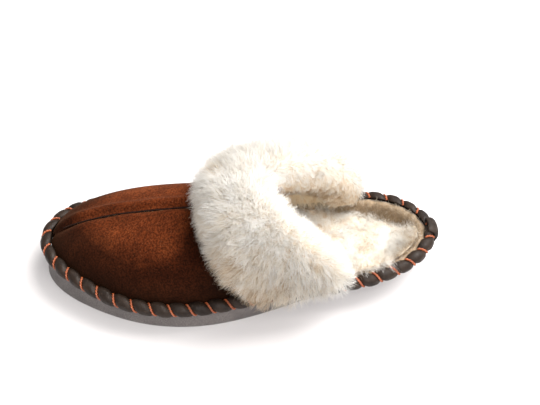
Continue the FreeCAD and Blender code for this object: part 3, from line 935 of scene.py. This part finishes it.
def keep_above_vamp(lines):
    """Lift the parts of fibres that would pass through the vamp on to its face."""
    cells = np.clip(np.round(lines[..., :2] - PLAN_LOW), 0, PLAN_HIGH - PLAN_LOW).astype(int)
    floor = VAMP_TOP[cells[..., 0], cells[..., 1]] + 0.35
    lines[..., 2] = np.where((floor > 0) & (lines[..., 2] > floor - 9),
                             np.maximum(lines[..., 2], floor), lines[..., 2])
    return lines


def keep_off_binding(lines, rng):
    """Push the parts of fibres that would pass through the binding off its face, each
    fibre a little differently."""
    angles = np.arctan2(WELT[:, 1], WELT[:, 0])
    order = np.argsort(angles)
    angle = np.arctan2(lines[..., 1], lines[..., 0])
    index = order[np.clip(np.searchsorted(angles[order], angle), 0, len(WELT) - 1)]
    across = np.sum((lines[..., :2] - WELT[index, :2]) * OUTWARD[index], -1)
    rise = lines[..., 2] - sheer(WELT[index, 1])
    away = np.maximum(np.hypot(across, rise), 1e-6)
    reach = BINDING + 1.0 + 2.2 * rng.uniform(0, 1, (len(lines), 1)) ** 2
    push = np.maximum(reach - away, 0.0) / away
    lines[..., :2] += OUTWARD[index] * (across * push)[..., None]
    lines[..., 2] += rise * push
    return lines


class Coat:
    """How a kind of wool grows: fibres to a lock, how unruly they are, how they stand, lean,
    hang and curl, how far a lock's tips gather, and a fibre's width in mm and its steps."""

    per_lock, loose, lift, bend, droop = 30, 0.2, 0.6, 0.5, 0.15
    curl, turns, gather, width, steps = 1.0, 0.9, 0.5, 0.22, 6

    def __init__(self, **changes):
        for name, value in changes.items():
            setattr(self, name, value)


def fibre_lines(roots, normals, combs, lengths, coat, lead, rng):
    """Middle lines of fibres: they rise, lean over their comb direction, curl and gather."""
    count = len(roots)
    t = np.linspace(0, 1, coat.steps + 1)
    lift = np.clip(coat.lift + rng.normal(0, 0.15, count), 0.05, 1)[:, None]
    start = unit(normals * lift + combs * (1 - lift) + rng.normal(0, coat.loose, (count, 3)))
    lean = combs * coat.bend - np.array([0, 0, coat.droop])
    heading = unit(start[:, None] + lean[:, None] * t[None, :, None])
    stride = lengths[:, None, None] / coat.steps
    lines = np.concatenate([np.zeros((count, 1, 3)), np.cumsum(heading[:, 1:] * stride, 1)], 1)
    side = unit(np.cross(start, normals + 1e-4))
    other = np.cross(side, start)
    phase = rng.uniform(0, 2 * math.pi, count)
    turn = coat.turns * 2 * math.pi * t[None]
    shared = coat.curl * t[None] * (lengths / 14)[:, None]
    own = 0.45 * shared
    for axis, wave in ((side, np.sin), (other, np.cos)):
        swing = shared * wave(turn + phase[lead][:, None]) + own * wave(1.7 * turn + phase[:, None])
        lines += axis[:, None] * swing[..., None]
    share = rng.choice([0.15, 0.8, 1.0], count, p=[0.3, 0.4, 0.3]) * coat.gather
    pull = share[:, None, None] * (t ** 1.3)[None, :, None]
    tips = lines[lead] + (roots[lead] - roots)[:, None]
    return roots[:, None] + lines * (1 - pull) + tips * pull


def grow(name, grid, normal, places, combs, lengths, coat, material, seed, shade=0.0,
         outside=False):
    """Fibres as thin tapering ribbons, rooted at places on a grid and lifted off the vamp's
    face if they lie outside it. Their tone follows each lock and the way up a fibre, and a
    shade offset through which callers paint light and shade."""
    rng = np.random.default_rng(seed)
    roots = read_grid(grid, *places)
    normals = unit(read_grid(normal, *places))
    count = len(roots)
    leaders = rng.choice(count, max(1, count // coat.per_lock), replace=False)
    lead = leaders[nearest(roots, roots[leaders])]
    lines = fibre_lines(roots, normals, combs, lengths, coat, lead, rng)
    if outside:
        lines = keep_above_vamp(lines)
    lines = keep_off_binding(lines, rng)
    direction = unit(np.gradient(lines, axis=1))
    tilted = normals + rng.normal(0, 0.3, (count, 3))
    broad = unit(np.cross(direction, tilted[:, None]))
    t = np.linspace(0, 1, coat.steps + 1)
    width = coat.width * rng.uniform(0.7, 1.3, count)
    taper = np.clip(1.1 - t, 0.1, 1.0) ** 0.6
    half = broad * (width[:, None] * taper[None])[..., None] / 2
    points = np.stack([lines - half, lines + half], 2)
    base = np.arange(coat.steps) * 2
    ladder = np.stack([base, base + 1, base + 3, base + 2], 1)
    offsets = np.arange(count)[:, None, None] * (2 * (coat.steps + 1))
    piece = make_piece(name, points, (ladder[None] + offsets).reshape(-1, 4), material)
    lock_tone = rng.normal(0, 0.11, count)[lead] + rng.normal(0, 0.06, count)
    tone = 0.32 + 0.60 * t[None] ** 0.7 + (lock_tone + shade)[:, None]
    add_values(piece, "tone", np.repeat(np.clip(tone, 0, 1), 2, axis=1))
    tilt = rng.normal(0, 0.2, (count, 3))[lead] + rng.normal(0, 0.08, (count, 3))
    soft = unit((normals + tilt + np.array([0.0, 0.0, 0.35]))[:, None] + direction * 0.3)
    piece.data.normals_split_custom_set_from_vertices(
        np.repeat(soft, 2, axis=1).reshape(-1, 3).tolist())


# The cuff's matted pile, in mm: how far it reaches ahead of the top line over the instep, how
# much further down the arms, and how much its lowest front corner is rounded off.
CUFF_FRONT = 35.0
CUFF_SPREAD = 25.0
CUFF_CORNER = 26.0
# Its reach behind the top line over the instep, and how much further down the arms.
CUFF_BACK = {1: 8.0, -1: 13.0}
CUFF_BACK_LOW = {1: 10.0, -1: 2.0}
# Its height, how far its underside stands off the vamp, how deep it turns in as a share, how
# wide it is parted at the seam, and where down the arms it ends, as shares of the way up.
CUFF_TALL = 17.0
CUFF_SKIN = 2.4
CUFF_INSIDE = {1: 1.0, -1: 0.85}
CUFF_NOTCH = {1: 0.38, -1: 0.14}
CUFF_LOWEST = 0.07

# The section from the front edge, over the top and down inside: how far ahead as a share of
# the reach ahead or behind, how high as a share of the height, and how far inside in mm.
CUFF_SECTION = [
    (1.0, 0.0, 0), (1.01, 0.45, 0), (0.96, 0.82, 0), (0.80, 1.0, 0), (0.5, 1.03, 0),
    (0.15, 1.0, 0), (-0.35, 0.9, 0), (-0.8, 0.6, 0), (-1.0, 0.15, 0), (-1.0, 0.0, 5),
    (-0.85, 0.0, 11), (-0.45, 0.0, 15), (0.18, 0.0, 16),
]


def cuff_reach(across):
    """How far ahead of the top line the cuff lies."""
    return CUFF_FRONT + CUFF_SPREAD * lowness(across) ** 0.6


def notch(side, across):
    """How far the cuff is parted behind the seam: 1 at the seam, 0 down the arms."""
    return np.exp(-(((1 - across) / CUFF_NOTCH[side]) ** 2))


def fullness(side, across):
    """The cuff's wool stands tallest over the instep, and flatter down the arms."""
    if side > 0:
        return 0.58 + 0.42 * np.sin(across * math.pi / 2)
    return 0.66 + 0.34 * across ** 4


def cuff_row(side, across, place):
    """One row of the cuff's pile at a place on its rounded section."""
    ahead, outside, inside = place
    inside = inside * CUFF_INSIDE[side]
    parted = notch(side, across)
    if ahead > 0:
        reach = cuff_reach(across) - CUFF_CORNER * np.clip(1 - across / 0.34, 0, 1) ** 1.5
    else:
        reach = CUFF_BACK[side] + CUFF_BACK_LOW[side] * lowness(across)
        reach = reach * (1 - 0.8 * parted)
    height = CUFF_TALL * fullness(side, across)
    height = height * (1 - 0.6 * parted * np.clip((0.55 - ahead) / 0.8, 0, 1))
    depth = inside * (1 - parted) - CUFF_SKIN - height * outside
    return cuff_points(side, ahead * reach, across, depth)


def cuff_core():
    """The cuff's matted pile: rows from the front edge back over the top line and under,
    columns from the outer arm over the instep to the inner."""
    climb = np.linspace(CUFF_LOWEST, 1.0, 70)
    rows = []
    for path in CUFF_SECTION:
        outer = cuff_row(1, climb, path)
        inner = cuff_row(-1, climb[::-1][1:], path)
        rows.append(np.concatenate([outer, inner]))
    core = smooth_rows(np.array(rows), 5)
    normal = -facing((0.0, 20.0, 40.0), core, normals_of(core))
    swell = 1.3 * lumps(core, 17.0, 1) + 0.5 * lumps(core, 7.0, 2)
    return core + normal * swell[..., None], normal


def make_cuff(base_material, wool_material):
    """The big turned-back cuff: a matted core and its long combed fibres."""
    core, normal = cuff_core()
    base = sheet_piece("cuff_pile", core, core - normal * 2.0, base_material)
    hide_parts("cuff_wool")
    rows, columns, _ = core.shape
    ahead = unit(-np.gradient(core, axis=0))
    # The fibres part along the ridge: ahead of it they lie forward, behind it they lie back.
    part = np.clip((0.50 - np.linspace(0, 1, rows)) / 0.35, -1, 1)
    comb = ahead * part[:, None, None]
    coat = Coat(loose=0.24, lift=0.62, bend=0.55, droop=0.16, curl=1.5)
    pieces = len(FUR_CUFF)
    for k, count in enumerate(FUR_CUFF):
        rng = np.random.default_rng(20 + k)
        low = int(k / pieces * (columns - 1))
        high = int((k + 1) / pieces * (columns - 1)) + 1
        i, j = sample_grid(core[:, low:high], count, rng)
        j = j + low
        back = i / (rows - 1)
        across = 1 - np.abs(j / (columns - 1) - 0.5) * 2 * (1 - CUFF_LOWEST)
        high_up = np.sin(across * math.pi / 2)
        lengths = (10.5 + 3.0 * high_up) * rng.uniform(0.75, 1.15, count)
        inner_side = j / (columns - 1) > 0.5
        lengths *= np.interp(back, [0, 0.1, 0.55, 0.7, 1.0], [0.85, 1.0, 0.95, 0.7, 0.4])
        lengths *= np.where(inner_side, np.interp(back, [0.5, 0.7], [1.0, 0.6]), 1.0)
        parted = notch(1, across)
        lengths *= 1 - 0.7 * parted * np.clip((back - 0.5) / 0.25, 0, 1)
        # Painted light and shade: fibres over the lit top of the roll are lighter; those at the
        # front edge, inside the turn and low at the front of the arms are darker and warmer.
        turn = back - np.where(inner_side, 0.12, 0.0) * np.clip(back / 0.6, 0, 1)
        shade = np.interp(turn, [0, 0.12, 0.4, 0.6, 0.72, 1.0],
                          [-0.24, -0.10, 0.16, 0.16, -0.16, -0.50])
        shade -= 0.75 * (1 - high_up) ** 0.8 * np.clip(1 - back / 0.6, 0, 1)
        grow("cuff_fibres_%d" % (k + 1), core, normal, (i, j), read_grid(comb, i, j), lengths,
             coat, wool_material, 40 + k, shade, outside=True)


# How far forward the footbed's fibres start, in the middle and on its rim.
FUR_FRONT = -22
RIM_FRONT = 58


def make_footbed(base_material, wool_material):
    """The footbed's wool: a lumpy matted base that climbs the wall, and its fibres."""
    low, high = node_box("footbed_wool")
    columns = 200
    shares = np.arange(columns) / columns
    plan, _, _ = welt_at(shares)
    edge = wall_points(shares, high[2] - 1, LEATHER + 1.2)
    foot = wall_points(shares, low[2], LEATHER + 1.2)
    _, spine = from_spine(plan)
    rows, under = [], []
    for reach in np.linspace(0.03, 1.0, 44):
        ring = drawn_in(edge, spine, reach)
        climb = max(0.0, (reach - 0.5) / 0.5) ** 2
        heelward = np.clip((ring[:, 1] - 96) / 25, 0, 1)
        near_heel = heelward * np.clip((ring[:, 0] + 14) / 12, -1, 1)
        banked = np.clip(0.45 + ring[:, 0] / 30 + near_heel, 0, 1)
        dip = np.clip(-0.2 - ring[:, 0] / 14, 0, 1) * np.clip((ring[:, 1] - 62) / 30, 0, 1)
        ring[:, 2] = high[2] - 1.5 + climb * (0.5 + 9.0 * banked - 8.5 * dip)
        rows.append(ring)
        under.append(drawn_in(foot, spine, reach))
    top = np.stack(rows)
    swell = 1.9 * lumps(top, 15.0, 3) + 1.1 * lumps(top, 6.5, 4)
    top[..., 2] += swell * np.linspace(1, 0.5, len(top))[:, None]
    base = stacked_rings("footbed_pile", np.concatenate([top, under[::-1]]), base_material)
    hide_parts("footbed_wool")
    grid = np.concatenate([top, top[:, :1]], axis=1)
    swell = np.concatenate([swell, swell[:, :1]], axis=1)
    normal = facing_up(normals_of(grid))
    coat = Coat(per_lock=45, loose=0.3, lift=0.5, bend=0.6, droop=0.05, curl=2.2, turns=1.2,
                gather=0.65, steps=5)
    # No fibres grow deep under the vamp, or on the rim where they would cross its foot.
    rim = np.linspace(0, 1, len(grid))[:, None] > 0.84
    behind = grid[..., 1]
    weights = np.where((behind > FUR_FRONT) & ~(rim & (behind < RIM_FRONT)), 1.0, 0.0)
    for k, number in enumerate(FUR_FOOTBED):
        rng = np.random.default_rng(70 + k)
        i, j = sample_grid(grid, number, rng, weights)
        roots = read_grid(grid, i, j)
        angle = 3.0 * lumps(roots, 16.0, 5)
        comb = np.stack([np.cos(angle), np.sin(angle), np.zeros(number)], 1)
        # Towards the outer wall and the heel the fibres lie out over the edge.
        outer_wall = np.clip(i / len(grid) * 2.2 - 1.2, 0, 1) * (roots[:, 0] > -8)
        outward = unit(roots * np.array([1.0, 0.25, 0.0]))
        comb += 0.9 * outer_wall[:, None] * outward
        # Painted light and shade: fibres rooted in the base's hollows are darker, those on its
        # lumps lighter.
        shade = np.clip(read_grid(swell, i, j) * 0.13, -0.30, 0.12) + 0.06
        lengths = (9.0 + 1.0 * outer_wall) * rng.uniform(0.7, 1.2, number)
        grow("footbed_fibres_%d" % (k + 1), grid, normal, (i, j), comb, lengths, coat,
             wool_material, 75 + k, shade)


def make_heel_lining(base_material, wool_material):
    """The short tan wool against the wall round the heel, dark partly as painted shade for the
    inside of the heel wall.
    """
    low, _ = node_box("heel_lining")
    shares = np.linspace(share_of(0.42, True) - 1.0, share_of(0.42, False), 120)
    plan, _, _ = welt_at(shares)
    top = sheer(plan[:, 1]) - 0.6
    outer, inner = [], []
    for level in np.linspace(0, 1, 10):
        height = low[2] + (top - low[2]) * level
        outer.append(wall_points(shares, height, LEATHER + 0.4))
        inner.append(wall_points(shares, height, LEATHER + 0.4 + 2.6 * (1 - 0.4 * level ** 4)))
    for rise, thickness, extra in ((0.9, 0.8, 1.2), (1.2, 0.8, -0.8)):
        lip = wall_points(shares, top, extra)
        outer.append(lip + np.array([0.0, 0.0, rise]))
        inner.append(lip + np.array([0.0, 0.0, rise + thickness]))
    outer, inner = np.stack(outer), np.stack(inner)
    base = sheet_piece("lining_pile", inner, outer, base_material)
    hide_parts("heel_lining")
    normal = facing((0.0, 60.0, 25.0), inner, normals_of(inner))
    rng = np.random.default_rng(80)
    i, j = sample_grid(inner[2:11], FUR_LINING, rng)
    i = i + 2
    rising = np.clip(i - 7, 0, 2)[:, None] * np.array([0.0, 0.0, 0.9])
    combs = np.array([0.0, 0.0, -1.0]) + rising + rng.normal(0, 0.4, (FUR_LINING, 3))
    coat = Coat(per_lock=22, loose=0.3, lift=0.7, bend=0.4, curl=0.8, steps=4)
    lengths = 5.0 * rng.uniform(0.7, 1.2, FUR_LINING)
    grow("lining_fibres", inner, normal, (i, j), combs, lengths, coat, wool_material,
         81)


def make_vamp_wool(name, side, base_material, wool_material):
    """The short wool inside one half of the vamp, which shows in the throat."""
    along, across = np.meshgrid(np.linspace(0.012, 0.86, 60), np.linspace(0.05, 0.96, 36),
                                indexing="ij")
    outer = vamp_points(side, along, across, VAMP_LEATHER + 0.4)
    inner = vamp_points(side, along, across, VAMP_LEATHER + 0.4 + 3.4)
    base = sheet_piece("vamp_pile_" + name, outer, inner, base_material)
    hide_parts("vamp_wool_" + name)
    normal = facing((0.0, 0.0, 20.0), inner, normals_of(inner))
    rng = np.random.default_rng(90 + side)
    places = sample_grid(inner[:22], FUR_VAMP, rng)
    combs = np.array([0.0, 0.6, -0.8]) + rng.normal(0, 0.3, (FUR_VAMP, 3))
    coat = Coat(loose=0.25, lift=0.55, droop=0.25, curl=1.2, steps=4)
    lengths = 6.0 * rng.uniform(0.7, 1.2, FUR_VAMP)
    grow("vamp_fibres_" + name, inner, normal, places, combs, lengths, coat, wool_material,
         92 + side)


# ---- stage


def make_floor():
    """A wide pale floor."""
    r = Recipe("floor")
    colour = r.mottle(3, 2, (0.66, 0.64, 0.64), (0.69, 0.67, 0.67))
    material = r.finish(colour, 0.9, (), {"Emission Color": (1.0, 0.96, 0.96),
                                          "Emission Strength": 0.14})
    mesh = bpy.data.meshes.new("floor")
    size = 6.0
    mesh.from_pydata([(-size, -size, 0), (size, -size, 0), (size, size, 0), (-size, size, 0)],
                     [], [(0, 1, 2, 3)])
    mesh.materials.append(material)
    floor = bpy.data.objects.new("floor", mesh)
    bpy.context.scene.collection.objects.link(floor)


def make_light(name, place, aim, width, power, colour):
    """A soft square lamp."""
    lamp = bpy.data.lights.new(name, "AREA")
    lamp.energy = power
    lamp.size = width
    lamp.color = colour
    thing = bpy.data.objects.new(name, lamp)
    thing.location = place
    thing.rotation_euler = (Vector(aim) - Vector(place)).to_track_quat("-Z", "Y").to_euler()
    bpy.context.scene.collection.objects.link(thing)


def make_world():
    """An even, nearly white surround."""
    world = bpy.data.worlds.new("studio")
    world.use_nodes = True
    back = world.node_tree.nodes["Background"]
    back.inputs["Color"].default_value = (1.0, 0.985, 0.98, 1.0)
    back.inputs["Strength"].default_value = 0.40
    bpy.context.scene.world = world


# The camera looks at the slipper's outer side from above.
CAMERA_AZIMUTH = 86.0
CAMERA_ELEVATION = 48.6
CAMERA_DISTANCE = 0.640
CAMERA_LENS = 61.667
CAMERA_SENSOR = 36.0
AIM = Vector((0.0, 0.0, 0.022))
# How far the aim lies to the right of the picture's centre and above it, as shares of the
# distance to it.
AIM_ACROSS, AIM_RISE = -0.03351, -0.04811


def make_camera():
    """A camera that sees the aim a little left of the picture's centre and below it."""
    azimuth, elevation = math.radians(CAMERA_AZIMUTH), math.radians(CAMERA_ELEVATION)
    back = Vector((math.sin(azimuth) * math.cos(elevation),
                   -math.cos(azimuth) * math.cos(elevation), math.sin(elevation)))
    right = (-back).cross(Vector((0, 0, 1))).normalized()
    up = back.cross(right)
    ray = (-back + right * AIM_ACROSS + up * AIM_RISE).normalized()
    data = bpy.data.cameras.new("camera")
    data.sensor_width = CAMERA_SENSOR
    data.lens = CAMERA_LENS
    data.clip_end = 50
    camera = bpy.data.objects.new("camera", data)
    axes = Matrix((right, up, back)).transposed().to_4x4()
    camera.matrix_world = Matrix.Translation(AIM - ray * CAMERA_DISTANCE) @ axes
    bpy.context.scene.collection.objects.link(camera)
    bpy.context.scene.camera = camera


# ---- build


def paint(node, material):
    """Give a CAD node that stays in view its real material."""
    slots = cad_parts[node].data.materials
    slots.clear()
    slots.append(material)


make_camera()
make_world()
make_floor()
make_light("key", (-0.22, 0.60, 1.12), (0, 0, 0.03), 0.9, 32, (1.0, 0.985, 0.965))
make_light("fill", (0.8, 0.35, 1.0), (0, 0, 0.03), 0.8, 13.0, (1.0, 0.99, 0.98))

brown = vamp_suede()
leather = binding_leather()
make_outsole(sole_suede())
make_cushion_pad(foam())
make_binding(leather)
make_stitches(lacing_thread())
make_heel_tab(leather)
for panel_name, panel_side in (("lateral", 1), ("medial", -1)):
    panel = make_vamp_panel("suede_" + panel_name, panel_side, brown)
    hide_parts("vamp_panel_" + panel_name)

cream_wool = wool("cream_wool", CREAM)
tan_wool = wool("tan_wool", TAN)
gold_wool = wool("gold_wool", GOLD)
cream_base = cloth_wool("cream_base", (0.70, 0.53, 0.35), (0.92, 0.86, 0.75))
# Pale as painted light in the throat's shaded hollow.
gold_base = cloth_wool("gold_base", (0.72, 0.52, 0.30), (0.92, 0.79, 0.57))
# Dark partly as painted shade inside the heel wall.
tan_base = cloth_wool("tan_base", (0.22, 0.15, 0.09), (0.42, 0.31, 0.20))
make_cuff(cream_base, cream_wool)
make_footbed(cream_base, cream_wool)
make_heel_lining(tan_base, tan_wool)
for panel_name, panel_side in (("lateral", 1), ("medial", -1)):
    make_vamp_wool(panel_name, panel_side, gold_base, gold_wool)
paint("footbed_hide", tanned_hide())
paint("cuff_hide", plain_hide())
seam_thread = dark_thread()
paint("centre_seam_thread", seam_thread)
paint("cuff_seam_thread", seam_thread)

bpy.context.scene.view_settings.view_transform = "Standard"
